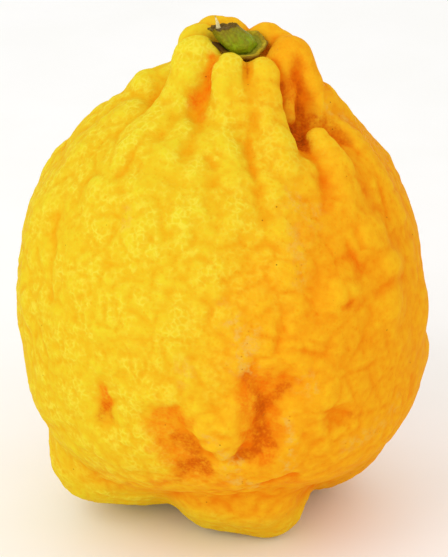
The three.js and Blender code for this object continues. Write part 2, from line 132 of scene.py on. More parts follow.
# Soft hollows: longitude, latitude, radius, depth.
hollows = [
    [(52, 77, 2, 0.6), (51, 75, 2.2, 1.8), (48, 72, 2.6, 3), (49, 70, 3.4, 3.6), (51, 68, 4.2, 3.6),
     (50, 65, 4, 2.8), (48, 61.5, 3, 1)],
    [(67, 72.5, 2.2, 0.6), (63, 71, 2.6, 1.6), (61, 69, 3, 2.4), (59, 66, 3.4, 2.8)],
    [(57, 66, 3.4, 2.4), (62, 63, 3, 1.8), (69, 59.5, 3, 0.9)],
    [(-15, 81.5, 2, 0.6), (-20, 79.5, 2.6, 1.1), (-24, 77.5, 3.2, 1.2), (-20, 75.5, 3.2, 1),
     (-17, 73.5, 2.8, 0.5)],
    [(-35, -4, 4.5, 0.6), (-34.5, -8, 4.5, 1.3), (-35, -12, 4.5, 0.6)],
    [(-18, -8, 6, 1.2), (-15, -13, 7, 1.6), (-11, -20, 7, 1.8), (-9, -26, 7, 1)],
    [(-12, -7, 4, 0.8), (-9, -11, 4, 1.3), (-6, -16, 4, 1.3), (-4, -20, 4, 0.8)],
    [(9, -9, 4, 0.9), (7, -13, 4, 1.4), (4.5, -17, 4, 1.2)],
    [(8, 5, 6, 0.6), (9.4, -1, 6, 1.2), (11, -7, 6.5, 1.9), (11.3, -13, 8, 2.5), (9, -17, 7, 1.6)],
    [(17, 3, 5, 0.5), (14, 0, 5.5, 1), (11.5, -3, 6, 1.4)],
    [(34, -11, 3.5, 0.6)],
]

# Parts that lap over the hollows beside them: x, y, z, radius, or longitude, latitude, radius, rise.
overlapKnuckles = [
    [(-4.6, -3.4, 151.6, 3.6), (-7.6, -2.9, 151, 5.6), (-8.1, -4, 148, 6.3), (-8.4, -5.6, 145.4, 6.2),
     (-9.6, -6.8, 142.6, 4.8)],
    [(2, -11, 148.9, 5.1), (2.1, -13.2, 146.2, 5.1), (2.6, -14.2, 143.6, 4.6), (3, -14.4, 141, 3.6)],
    [(11.4, -10.8, 147.8, 5.2), (11.4, -13.6, 144, 5.3), (11.6, -15.8, 140, 5.5), (13, -19.2, 135, 5.9),
     (15.2, -24, 130.4, 6.4), (16.6, -29, 125.6, 6.2)],
    [(19.2, -6, 143.3, 2.8), (19.2, -8.5, 138.7, 2.8), (19.4, -10.6, 135.2, 2.6)],
    [(27.4, -16.9, 130.6, 4.1), (28.8, -19.3, 127.8, 5.1), (30.4, -22, 123.4, 6.2), (32.1, -25.2, 116.9, 7),
     (33.2, -28.2, 109.4, 7.2)],
]
overlapRibs = [
    [(-7, -4, 8, 0.3), (-4, -10, 7, 0.9), (-1.5, -15, 5.5, 1.2), (0.5, -18.5, 4, 1)],
    [(4.5, -3, 8, 0.3), (2.6, -9, 7, 0.9), (2.2, -14, 5, 1.1)],
]

# Creases drawn into the surface: half width, depth, then longitude and latitude along each.
creases = [
    (1.3, 0.7, [(-74, 65), (-76, 68), (-76, 71), (-73, 74), (-50, 73.5), (-39, 73)]),
    (0.9, 1.2, [(-42, 68), (-45, 65), (-44, 62), (-44, 57), (-44, 54), (-46, 50)]),
    (1.4, 0.5, [(-18, 73), (-18, 69), (-18, 64), (-22, 59)]),
    (1.1, 0.5, [(-12, 64), (-8, 62.5), (-4, 61)]),
    (0.8, 1.1, [(-11, 63.5), (-5, 62), (0, 59.5)]),
    (1.3, 0.4, [(-9, 54), (0, 56), (4, 53), (9, 51)]),
    (1.0, 0.5, [(-27, 86), (-18, 83), (-11, 80)]),
    (0.6, 1.7, [(50, 84.5), (42, 83.2), (37, 82), (31, 80.6), (28, 79.6), (26, 78.6), (24, 77.6)]),
    (0.8, 0.8, [(-16, 85), (-8, 83), (-11, 83), (-15, 83), (-22, 81), (-29, 79), (-35, 77)]),
    (2.2, 1.0, [(-114, 46), (-102, 45), (-88, 46), (-76, 47)]),
    (0.8, 1.1, [(17, 70), (15, 66), (14, 60), (14, 54)]),
    (1.2, 0.6, [(16, 67), (17, 69), (21, 70), (26, 70), (31, 68.5)]),
    (1.6, 0.7, [(14, 57), (14, 52), (15, 47), (14, 42)]),
    (1.3, 0.5, [(14, 43), (15, 40), (19, 37)]),
    (1.5, 0.9, [(46, 61), (46, 57), (43, 53), (42, 49)]),
    (1.3, 0.4, [(24, 51), (30, 49), (38, 49)]),
    (1.3, 0.4, [(24, 49), (24, 45), (25, 38)]),
    (1.6, 0.8, [(64, 64), (68, 61), (69, 57), (69, 50), (69, 46), (68, 41), (65, 37), (66, 32)]),
    (1.2, 0.8, [(42, 39), (43, 34), (45, 29), (47, 26)]),
    (1.2, 0.5, [(50, 41), (46, 38), (47, 33), (52, 31), (60, 30), (67, 33), (66, 38), (59, 41)]),
    (1.2, 0.5, [(51, 32), (47, 29), (46, 27), (49, 24)]),
    (1.2, 0.4, [(47, 18.5), (49, 21), (52, 22), (58, 22), (67, 19)]),
    (1.2, 0.8, [(33, 19.5), (37, 21), (42, 21.5)]),
    (1.2, 0.5, [(43, 14), (42, 9), (43, 3)]),
    (1.4, 0.4, [(50, 13), (52, 5), (54, -2)]),
    (1.3, 0.6, [(15, 23), (16, 20), (16, 15), (15, 10)]),
    (1.1, 0.6, [(16, 13), (22, 11.5), (29, 9), (33, 12)]),
    (1.3, 0.4, [(20, 2), (26, 5), (31, 6)]),
    (2.6, 1.0, [(-67, 39), (-62, 33), (-59, 28), (-57, 22), (-56, 14)]),
    (1.2, 0.4, [(-48, 16.5), (-40, 17.5)]),
    (1.6, 0.5, [(-22, 43), (-23, 40), (-28, 36)]),
    (1.8, 0.4, [(-11, 50), (-9, 45), (-10, 39), (-13, 33), (-17, 25)]),
    (1.6, 0.5, [(-35, 12), (-33, 5), (-32, 0)]),
    (1.3, 0.5, [(-71, -28), (-54, -23), (-43, -20)]),
    (1.2, 0.5, [(27, -8), (32, -9), (36, -11), (41, -12)]),
    (1.0, 1.2, [(72, 76), (70, 73), (69, 71), (66, 69), (61, 67)]),
    (1.5, 0.9, [(80, -24), (90, -25), (100, -24)]),
    (1.4, 1.5, [(13, -37.5), (14, -35.5), (17, -32), (21, -31), (27, -32.5)]),
    (1.8, 0.8, [(-36, -62), (-26, -56), (-14, -46), (-4, -42)]),
]

# Bumps raised on the surface: longitude, latitude, half width, height.
bumps = [
    (-84, 62, 4, 0.4), (-63, 65, 4, 0.4), (-52, 59, 3, 0.4), (-38, 61, 4, 0.5), (-27, 63, 3.6, 0.4),
    (-52, 47, 4.5, 0.5), (-64, 45, 4, 0.4), (-70, 39, 4, 0.5), (-35, 50, 4, 0.5), (-21, 59, 3.6, 0.5),
    (-14, 59, 3.6, 0.5), (4, 58, 4.5, 0.6), (0, 64, 4, 0.5), (-5, 66, 3.5, 0.5), (2, 70, 4, 0.4),
    (-9, 75, 3.5, 0.5), (-30, 40, 4, 0.4), (-15, 45, 4.5, 0.4), (-10, 39, 4.5, 0.4), (-20, 38, 3.5, 0.3),
    (-51, 34, 4, 0.3), (0, 36, 3.5, 0.4), (-5, 33, 4, 0.4), (-15, 33, 4, 0.3), (-42, 30, 4, 0.3),
    (-54, 27, 4, 0.3), (-37, 14, 5, 0.3), (-14, 18, 5, 0.35), (-26, 14, 4, 0.3),
    (27, 67, 4.5, 0.4), (30, 62, 4, 0.3), (20, 53, 3.5, 0.4), (18, 43, 4.5, 0.5), (36, 55, 6, 0.6),
    (56, 53, 4, 0.4), (53, 47, 4, 0.4), (46, 45, 4, 0.4), (54, 35, 6.8, 0.7), (57, 27, 5.6, 0.6),
    (47, 23, 4.2, 0.5), (54, 17, 6, 0.7), (35, 25, 5.5, 0.4), (38, 41, 4.5, 0.35), (31, 42, 2.8, 0.3),
    (38, 13, 5, 0.35), (22, 16, 6, 0.4), (19, 7, 4, 0.3), (30, 3, 5, 0.3), (51, 7, 5, 0.4),
    (22, 27, 4.5, 0.4), (76, 32, 4, 0.4), (73, 23, 4, 0.4), (-139, 82.7, 4, 0.5), (-170, 80.3, 4, 0.9),
    (170, 79.5, 4, 0.8),
]

nipple = [  # blossom end: x, y, z, radius
    [(-2, -12.4, 13.4, 12), (13.2, -13.8, 12.3, 13)],
    [(-2.4, -22, 21.2, 11.6), (10, -23, 21, 12.2)],
]
footLobes = [
    [(-37.2, -4, 22.4, 15.6)],
    [(-28, -2.5, 27.4, 18.8)],
    [(-25, 10, 22.3, 22.6)],
    [(29.8, 12, 28, 23.6)],
    [(18, 20, 25.7, 26)],
]

bodyCentre = np.array(citronForm["bodyCentre"], float)


def direction(longitude, latitude):
    # Longitude is 0 at the front and grows to the right, in degrees.
    lon, lat = math.radians(longitude), math.radians(latitude)
    return np.array((math.cos(lat) * math.sin(lon), -math.cos(lat) * math.cos(lon), math.sin(lat)))


def unitRows(rows):
    return rows / np.maximum(np.linalg.norm(rows, axis=1, keepdims=True), 1e-12)


def curveBetween(a, b, c, d, t):
    # A Catmull-Rom curve from b to c, as t goes from 0 to 1.
    return 0.5 * (2 * b + (c - a) * t + (2 * a - 5 * b + 4 * c - d) * t ** 2
                  + (3 * b - a - 3 * c + d) * t ** 3)


def readOutline(values, latitude):
    # The radius at a latitude, from the values given at even steps from the bottom to the top.
    table = np.array((values[1], *values, values[-2]), float)
    place = (latitude + 90) / 180 * (len(values) - 1)
    i = np.clip(np.floor(place).astype(int), 0, len(values) - 2)
    return curveBetween(table[i], table[i + 1], table[i + 2], table[i + 3], place - i)


def bodyRadius(ways):
    # Radius of the plain body along each direction, blended round between its four outlines.
    x, y, z = ways.T
    latitude = np.degrees(np.arcsin(np.clip(z, -1, 1)))
    across = np.maximum(np.hypot(x, y), 1e-9)
    reach = {side: readOutline(values, latitude) for side, values in citronForm["outlines"].items()}
    wide = np.where(x > 0, reach["right"], reach["left"])
    deep = np.where(y > 0, reach["back"], reach["front"])
    return 1 / np.hypot(x / across / wide, y / across / deep)


def ballsOn(chain):
    # Balls whose outermost point stands above the plain body by their rise.
    balls = []
    for longitude, latitude, radius, amount in chain:
        way = direction(longitude, latitude)
        balls.append((*(bodyCentre + way * (bodyRadius(way[None])[0] + amount - radius)), radius))
    return np.array(balls)


def ballsInto(chain):
    # Balls that reach below the plump surface by their depth. Each way is walked inwards to the surface,
    # in steps short enough not to pass through it.
    balls = []
    startReach, stepShare, steps = 100.0, 0.7, 80
    for longitude, latitude, radius, amount in chain:
        way = direction(longitude, latitude)
        reach = startReach
        for _ in range(steps):
            reach -= max(stepShare * plumpDistance((bodyCentre + way * reach)[None])[0], 0)
        balls.append((*(bodyCentre + way * (reach + radius - amount)), radius))
    return np.array(balls)


def chainDistance(points, balls):
    # Distance from a string of balls, filled in between them with cones.
    if len(balls) == 1:
        return np.linalg.norm(points - balls[0, :3], axis=1) - balls[0, 3]
    nearest = np.full(len(points), 1e9)
    for a, b in zip(balls[:-1], balls[1:]):
        along = b[:3] - a[:3]
        offset = points - a[:3]
        t = np.clip(offset @ along / (along @ along), 0, 1)
        gap = np.linalg.norm(offset - t[:, None] * along, axis=1) - a[3] - t * (b[3] - a[3])
        nearest = np.minimum(nearest, gap)
    return nearest


def join(a, b, blend):
    # The nearer of two distances, rounded where they meet.
    near = np.maximum(blend - np.abs(a - b), 0) / blend
    return np.minimum(a, b) - near ** 2 * blend / 4


def workIn(distance, points, chains, blend, carve=False, reach=11):
    # Joins or carves chains, each only for the points near it.
    for balls in chains:
        low = (balls[:, :3] - balls[:, 3:]).min(0) - reach
        high = (balls[:, :3] + balls[:, 3:]).max(0) + reach
        here = np.flatnonzero(((points > low) & (points < high)).all(1))
        if len(here):
            gap = chainDistance(points[here], balls)
            old = distance[here]
            distance[here] = -join(-old, gap, blend) if carve else join(old, gap, blend)


def ellipsoidDistance(points, middle, radii):
    # Roughly the distance from an ellipsoid, exact only on its surface.
    scaled = np.linalg.norm((points - np.array(middle)) / np.array(radii), axis=1)
    return (scaled - 1) * min(radii)


knuckleChains = list(map(np.array, collarKnuckles))
nippleChains = list(map(np.array, nipple))
footChains = list(map(np.array, footLobes))
ribChains = list(map(ballsOn, ribs))
swellingChains = list(map(ballsOn, swellings))
lappingChains = list(map(np.array, overlapKnuckles)) + list(map(ballsOn, overlapRibs))


def plumpDistance(points):
    # The fruit before its hollows are cut.
    offset = points - bodyCentre
    reach = np.linalg.norm(offset, axis=1)
    distance = reach - bodyRadius(offset / reach[:, None])
    for chains, blend in ((footChains, "lobeBlend"), (nippleChains, "nippleBlend")):
        for chain in chains:
            distance = join(distance, chainDistance(points, chain), citronForm[blend])
    workIn(distance, points, swellingChains, citronForm["bodyBlend"])
    raised = ellipsoidDistance(points, *citronForm["collarCore"])
    workIn(raised, points, ribChains + knuckleChains, citronForm["knuckleBlend"])
    return join(distance, raised, citronForm["bodyBlend"])


hollowChains = list(map(ballsInto, hollows))


def seatDistance(points):
    # The round seat of the calyx, open upwards.
    middle, facing, radius, depth = citronForm["calyxSeat"]
    facing = np.array(facing) / np.linalg.norm(facing)
    offset = points - np.array(middle)
    height = offset @ facing
    away = np.sqrt(np.maximum((offset ** 2).sum(1) - height ** 2, 0))
    return np.maximum(np.maximum(away - radius, -height - depth), height - citronForm["seatOpening"])


def fruitDistance(points):
    # The whole fruit, with its hollows, the parts that lap over them, the pit and the calyx seat.
    distance = plumpDistance(points)
    workIn(distance, points, hollowChains, citronForm["hollowBlend"], carve=True)
    workIn(distance, points, lappingChains, citronForm["overlapBlend"])
    pit = ellipsoidDistance(points, *citronForm["stemPit"])
    distance = -join(-distance, pit, citronForm["pitBlend"])
    distance = -join(-distance, seatDistance(points), citronForm["seatBlend"])
    return np.maximum(distance, -points[:, 2])  # flat where it stands


def surfaceQuads(voxel):
    # Fills a fine grid only near the surface, then lets OpenVDB draw the quads.
    def cellsOf(counts):
        return np.stack(np.meshgrid(*(np.arange(n) for n in counts), indexing="ij"), -1).reshape(-1, 3)

    low = np.array(citronForm["fieldLow"])
    finer = 4  # fine cells along each side of a coarse one
    coarse = voxel * finer
    counts = np.ceil(np.array(citronForm["fieldSize"]) / coarse).astype(int)
    cells = cellsOf(counts)
    rough = fruitDistance(low + (cells + 0.5) * coarse)
    band = voxel * 3
    grid = np.where(rough > 0, band, -band).reshape(counts).astype(np.float32)
    for axis in range(3):
        grid = np.repeat(grid, finer, axis)
    halfDiagonal, spare = 0.87, 1.25
    near = cells[np.abs(rough) < coarse * halfDiagonal * spare + band]
    fine = (near[:, None] * finer + cellsOf((finer,) * 3)[None]).reshape(-1, 3)
    values = fruitDistance(low + (fine + 0.5) * voxel)
    grid[fine[:, 0], fine[:, 1], fine[:, 2]] = np.clip(values, -band, band)
    level = openvdb.FloatGrid(band)
    level.copyFromArray(grid)
    points, quads = level.convertToQuads(0.0)
    return low + (points.astype(float) + 0.5) * voxel, quads.astype(int)


def slopeAt(points, step=0.15):
    # Gradient of the field by central differences.
    slope = np.empty_like(points)
    for axis in range(3):
        shift = np.zeros(3)
        shift[axis] = step
        slope[:, axis] = (fruitDistance(points + shift) - fruitDistance(points - shift)) / (2 * step)
    return slope


def quadNormals(points, quads):
    corners = points[quads]
    across = np.cross(corners[:, 2] - corners[:, 0], corners[:, 3] - corners[:, 1])
    normals = np.zeros_like(points)
    for axis in range(3):
        for k in range(4):
            normals[:, axis] += np.bincount(quads[:, k], across[:, axis], len(points))
    return unitRows(normals)


def edgesOf(quads):
    pairs = np.concatenate([quads[:, (k, (k + 1) % 4)] for k in range(4)])
    pairs.sort(axis=1)
    return np.unique(pairs, axis=0)


def smoothed(values, edges, rounds, share=0.6):
    # Each value moves towards the mean of its neighbours, so many rounds reach further.
    values = np.array(values, float).reshape(len(values), -1)
    count = np.bincount(edges.ravel(), minlength=len(values))[:, None]
    for _ in range(rounds):
        total = np.zeros_like(values)
        for axis in range(values.shape[1]):
            total[:, axis] = (np.bincount(edges[:, 0], values[edges[:, 1], axis], len(values))
                              + np.bincount(edges[:, 1], values[edges[:, 0], axis], len(values)))
        values = values + share * (total / np.maximum(count, 1) - values)
    return values


def noiseAt(points, size, shift=0.0):
    # Smooth noise from about -1 to 1 whose lumps are about as wide as size.
    places = (points / size + shift).tolist()
    return np.fromiter((noise.noise(p) for p in places), float, len(points)) * 1.6


def pillowsAt(points, size, shift):
    # Rounded pillows parted by narrow valleys: -0.5 in the valleys and 0.5 on the tops.
    warp = np.stack([noiseAt(points, size * 1.3, shift + k * 9.0) for k in range(3)], 1)
    places = (points / size + 0.22 * warp + shift).tolist()
    gaps = np.array([noise.voronoi(p)[0][:2] for p in places])
    return rise(gaps[:, 1] - gaps[:, 0], -0.35, 0.7) - 0.5


def rise(value, start, end):
    # 0 up to start, 1 from end, and smooth between. It runs down where end is the smaller one.
    t = np.clip((value - start) / (end - start), 0, 1)
    return t * t * (3 - 2 * t)


def alongPath(points, places, margin):
    # For the points near a path drawn on the fruit: which they are, how far off it and how far along it,
    # and its length. Distances are taken at the fruit's usual radius.
    usual = citronForm["usualRadius"]
    line = np.array([direction(*place) * usual for place in places])
    lengths = np.r_[0, np.cumsum(np.linalg.norm(np.diff(line, axis=0), axis=1))]
    spots = unitRows(points - bodyCentre) * usual
    near = np.flatnonzero(((spots > line.min(0) - margin) & (spots < line.max(0) + margin)).all(1))
    spots = spots[near]
    away = np.linalg.norm(spots - line[0], axis=1)
    place = np.zeros(len(near))
    for k in range(len(line) - 1):
        along = line[k + 1] - line[k]
        t = np.clip((spots - line[k]) @ along / (along @ along), 0, 1)
        gap = np.linalg.norm(spots - line[k] - t[:, None] * along, axis=1)
        place = np.where(gap < away, lengths[k] + t * (lengths[k + 1] - lengths[k]), place)
        away = np.minimum(away, gap)
    return near, away, place, lengths[-1]


def stainMask(points, stains, ragged=0.35, size=4.0, shift=3.0):
    # Stains are a half width in mm, a strength and a path. Their edges are made ragged by noise.
    mask = np.zeros(len(points))
    wobble = (1 + ragged * noiseAt(points, size, shift)).clip(0.5, 2)
    for width, strength, places in stains:
        near, away, _, _ = alongPath(points, places, width * 2.8)
        reach = 1 - rise(away * wobble[near], width * 0.3, width * 1.3)
        mask[near] = np.maximum(mask[near], strength * reach)
    return mask


def creaseDepth(points):
    # How deep the drawn creases go at each point. Each fades out towards its ends.
    depth = np.zeros(len(points))
    for width, deepest, places in creases:
        near, away, place, length = alongPath(points, places, 12)
        ends = min(5, length / 3)
        fade = rise(place, -0.5, ends) * rise(length - place, -0.5, ends)
        sharp = np.exp(-(np.hypot(away, 0.3) - 0.3) / width)
        broad = np.exp(-(away / width / 2.2) ** 2)
        depth[near] = np.maximum(depth[near], deepest * fade * (0.65 * sharp + 0.35 * broad))
    return depth


def bumpHeight(points):
    height = np.zeros(len(points))
    for longitude, latitude, width, tall in bumps:
        near, away, _, _ = alongPath(points, [(longitude, latitude)], width * 2)
        height[near] += tall * np.exp(-(away / width) ** 3)
    return height


# Lumps, creases, ripeness, stains and scars of the rind; the stains are partly painted shade in the
# hollows. Stains and scars: half width, strength, path.
rindFinish = {
    "broadLumps": (16.0, 0.45),  # width, height
    "pillows": (8.0, 0.75),
    "smallPillows": (4.8, 0.18),
    "smallLumps": (3.0, 0.12),
    "grain": (1.8, 0.06),
    "pillowPatches": (22, 0.5),  # width of the patches where pillows are higher or lower, and how much
    "creasePatches": (9, 0.35),  # the same for the depth of the creases
    "creaseWander": (7, 0.8),  # width and reach of the creases' wandering
    "footing": (0.3, 5),  # lumps start at this height and are whole from this one
    "relief": [(4, 0.05, 0, 0.06), (13, 0.14, 0, 0.07), (44, 0.4, 0.1, 0.08)],  # rounds, usual, lift, weight
    "ripeStart": -24,  # x where the rind starts to turn orange
    "ripeEnd": 34,
    "ripeSlant": (0.27, 88),  # how much riper each millimetre lower, and the height where that's nothing
    # The band below 24 mm makes the underside less ripe and lighter: painted light from below.
    "ripeBandsAndUnderLight": [(7, 118, 92), (17, 45, 25), (-60, 24, 10), (10, 132, 150)],  # amount, start, end height
    "ripeCollar": 26,  # more at the top of the collar, on its right and back
    "smoothSide": 0.75,  # share of the lumps left on the smooth right side
    "smoothFrom": (-2, 26),  # x where that side starts and where it's wholly smooth
    # Brown stains, darker in the valleys: partly real stain, partly painted shade.
    "brownStainsAndShade": [
        (1.6, 0.9, [(60, 75), (58, 74), (60, 72), (60, 70)]),
        (1.2, 0.8, [(71.5, 72.6), (70, 71.4), (70, 70), (68, 69)]),
        (3.2, 1.0, [(60, 70), (57, 67), (53, 65), (50, 63.5)]),
        (2.0, 0.9, [(50, 64), (48, 61.5)]),
        (2.2, 0.8, [(63, 68), (70, 66.5), (71, 64)]),
        (2.8, 0.6, [(71, 64), (74, 60), (72, 57)]),
        (5.0, 0.4, [(66, 73), (64, 70), (60, 67)]),
        (0.6, 0.45, [(42, 83.2), (37, 82), (31, 80.6), (28, 79.6), (26, 78.6)]),
        (2.4, 0.6, [(7, 6), (8, 3), (9.5, 0)]),
        (2.4, 0.7, [(18, 2), (15, -2), (12.5, -4)]),
        (3.2, 0.9, [(10.5, -2), (11, -8), (11, -13), (10.5, -18)]),
        (2.6, 0.95, [(10.5, -19), (8, -20.5), (5, -21)]),
        (3.2, 0.7, [(12.5, -13), (14, -17), (15, -19)]),
        (4.0, 0.7, [(-13, -16), (-10, -16), (-8, -20)]),
        (3.2, 0.95, [(-12, -27), (-9, -25), (-6, -24), (-5, -27)]),
        (2.4, 0.55, [(-13, -28), (-15, -33)]),
        (2.0, 0.35, [(-21, -19), (-18, -17)]),
        (2.6, 0.5, [(-35, -9), (-37, -13)]),
        (2.0, 0.5, [(-34, -9), (-33, -12)]),
        (1.8, 0.5, [(38.5, -12), (41.5, -13)]),
        (0.9, 0.7, [(60, 45.5), (60, 45)]),
        (1.1, 0.4, [(36.5, 20.5), (38.5, 21)]),
        (1.0, 0.25, [(48, 20), (49, 21)]),
    ],
    # Red stains: partly red blemishes, partly painted shade in the hollows and depressions.
    "redStainsAndShade": [
        (1.4, 0.9, [(-17, 84), (-13, 83), (-15, 82), (-20, 80.5)]),
        (2.0, 0.9, [(-22, 79.5), (-26, 78.5), (-29, 77.5)]),
        (1.8, 0.6, [(-24, 77.5), (-19, 75.5), (-17, 74)]),
        (2.6, 1.0, [(-35, -3.5), (-34, -7), (-35, -9)]),
        (3.4, 0.4, [(-35, -8), (-36, -13)]),
        (3.2, 0.75, [(-18.5, -8.5), (-16, -6.5), (-13, -6), (-10.5, -9)]),
        (8.0, 0.7, [(-16, -12), (-14.5, -16), (-12, -22), (-10.5, -28)]),
        (2.4, 0.6, [(-21, -19), (-18.5, -17)]),
        (3.4, 0.5, [(-14, -27), (-17, -33), (-23, -36)]),
        (2.2, 0.8, [(-5, -25), (-4, -29)]),
        (7.5, 0.9, [(9, 3), (10, -6), (11.5, -14), (11, -19)]),
        (4.4, 0.7, [(17, 3), (13, -3)]),
        (3.6, 0.35, [(5, -3), (6, -9)]),
        (3.2, 0.5, [(16, -36), (22, -34), (27, -36)]),
        (2.5, 0.5, [(42, 33), (45, 29)]),
        (2.0, 0.35, [(49, 21), (55, 22)]),
        (1.8, 0.5, [(60, 47), (60, 44.5)]),
        (6.0, 0.35, [(80, 79), (84, 74), (84, 70)]),
        (2.6, 0.75, [(68, 73.8), (64, 72.4), (60, 71), (58, 69.5)]),
        (2.5, 0.4, [(37, 20), (42, 21)]),
        (2.5, 0.4, [(28, 43), (30, 40)]),
        (2.5, 0.4, [(43, 52), (40, 46)]),
        (2.5, 0.4, [(-9, -30), (0, -33)]),
        (2.4, 0.45, [(38, -11.5), (41.5, -12.5)]),
        (2.6, 0.5, [(68, -12), (67, -16)]),
    ],
    "scars": [
        (4.2, 1.0, [(4, 21), (6, 15), (5.5, 9)]),
        (3.0, 0.9, [(8.5, 18), (8, 14)]),
        (3.0, 0.6, [(27, 49), (33, 45)]),
        (3.0, 0.6, [(24, 42), (24, 37), (24, 30)]),
        (3.6, 0.5, [(-11, 9), (-9, 5)]),
        (2.0, 0.9, [(-4, -12), (0, -18), (3, -23)]),
        (3.2, 1.0, [(3, -23), (4, -30), (10, -36)]),
        (2.0, 1.0, [(18, -8), (20, -16), (20, -23), (20, -29)]),
        (2.6, 0.7, [(23, 3), (25, 0)]),
        (3.5, 0.6, [(57, -17), (50, -21), (40, -22)]),
        (1.4, 0.7, [(76, 66), (80, 62), (86, 58)]),
        (2.0, 0.5, [(-34, 46), (-32, 42)]),
    ],
    # A chain of balls along the knuckle's edge beside the stem pit, where the rind gets painted shade.
    "pitEdgeShade": [(-3, -3.2, 156, 0.4), (-1.8, -3.2, 154.6, 0.7), (-0.5, -3.4, 152.6, 1)],  # x, y, z, radius
}


def addObject(name, data):
    made = bpy.data.objects.new(name, data)
    bpy.context.scene.collection.objects.link(made)
    return made


def addMesh(name, points, faces):
    mesh = bpy.data.meshes.new(name)
    mesh.from_pydata((points * metre).tolist(), [], faces.tolist() if hasattr(faces, "tolist") else faces)
    mesh.update()
    mesh.polygons.foreach_set("use_smooth", np.ones(len(mesh.polygons), bool))
    return addObject(name, mesh)


def addMask(made, name, values):
    # Keeps a value at each point of the mesh, for its material to read.
    made.data.attributes.new(name, "FLOAT", "POINT").data.foreach_set("value", values.astype(np.float32))


print("growing the rind")
points, quads = surfaceQuads(citronForm["voxel"])
edges = edgesOf(quads)
for _ in range(2):
    # Evens out the quads, then puts their corners back on the surface.
    relaxed = smoothed(points, edges, 1, 0.5)
    slope = slopeAt(relaxed)
    steepness = np.maximum((slope ** 2).sum(1), 0.25)
    points = relaxed - slope * (fruitDistance(relaxed) / steepness).clip(-0.6, 0.6)[:, None]
print(len(points), "points in the rind")

print("adding lumps to the rind")
normals = quadNormals(points, quads)
smoothness = rise(points[:, 0] + 6 * noiseAt(points, 25, 7.0), *rindFinish["smoothFrom"])
lumpShare = 1 - (1 - rindFinish["smoothSide"]) * smoothness
standing = rise(points[:, 2], *rindFinish["footing"])


def patchesOf(name, shift):
    width, strength = rindFinish[name]
    return strength * noiseAt(points, width, shift)


def lumpsOf(layer, shapeAt, shift):
    width, height = rindFinish[layer]
    return height * shapeAt(points, width, shift)


lumps = lumpsOf("broadLumps", noiseAt, 1.0)
lumps += lumpShare * lumpsOf("pillows", pillowsAt, 2.0) * (0.8 + patchesOf("pillowPatches", 4.0))
for layer in (("smallPillows", pillowsAt, 6.0), ("smallLumps", noiseAt, 5.0), ("grain", noiseAt, 8.0)):
    lumps += lumpShare * lumpsOf(*layer)
lumps += bumpHeight(points)
wander = np.stack([patchesOf("creaseWander", k * 20.0) for k in range(3)], 1)
drawn = creaseDepth(points + wander) * (0.85 + patchesOf("creasePatches", 33.0))
points = points + normals * ((lumps - drawn) * standing)[:, None]
points[:, 2] = np.maximum(points[:, 2], 0)

# How far each point stands out: 0 in the valleys and 1 on the crests. More rounds of smoothing reach
# further, so the last hollow is the broadest. The rind's colour uses it for painted highlight on the
# crests and painted shade in the valleys.
normals = quadNormals(points, quads)
standOut = np.full(len(points), 0.5)
for rounds, usual, lift, weight in rindFinish["relief"]:
    hollow = ((smoothed(points, edges, rounds) - points) * normals).sum(1)
    standOut -= weight * ((hollow + lift) / usual).clip(-2, 2)
rind = addMesh("rind", points, quads)
addMask(rind, "standOut", standOut.clip(0, 1))
# valley marks the hollows; the rind's colour puts painted shade there.
addMask(rind, "valley", rise(hollow, 0.25, 1.3))
# Painted shade on the stem pit's wall and along the knuckle's edge beside it.
pitWallShade = 1 - rise(np.abs(ellipsoidDistance(points, *citronForm["stemPit"])), 0.2, 1)
pitEdgeShade = 1 - rise(chainDistance(points, np.array(rindFinish["pitEdgeShade"])), -0.4, 0.9)
addMask(rind, "pitWallShade", np.maximum(pitWallShade * rise(points[:, 2], 155, 151), pitEdgeShade))
addMask(rind, "drawnCrease", rise(drawn, 0.3, 1.3))
clean = 0.85 * rise(-hollow, 0, 0.5)  # kept to the hollows and off what stands out, so the brown stain is partly painted shade
addMask(rind, "brownStainAndShade", stainMask(points, rindFinish["brownStainsAndShade"]) * (1 - clean))
addMask(rind, "redStainAndShade", stainMask(points, rindFinish["redStainsAndShade"]))
addMask(rind, "scar", stainMask(points, rindFinish["scars"], 0.6, 3.0, 9.0))

# The rind turns orange from left to right. Lean moves that border to the left; near the bottom one band
# moves it back, lightening the underside with painted light.
x, y, height = points.T
slant, level = rindFinish["ripeSlant"]
lean = slant * (level - height) + rindFinish["ripeCollar"] * rise(height, 132, 150) * rise(x + y, -6, 14)
for amount, start, end in rindFinish["ripeBandsAndUnderLight"]:
    lean += amount * rise(height, start, end)
border = x + 8 * noiseAt(points, 17, 11.0) + lean
addMask(rind, "ripeness", rise(border, rindFinish["ripeStart"], rindFinish["ripeEnd"]))


def readAll(items, name, kind, width=1):
    values = np.empty(len(items) * width, kind)
    items.foreach_get(name, values)
    return values


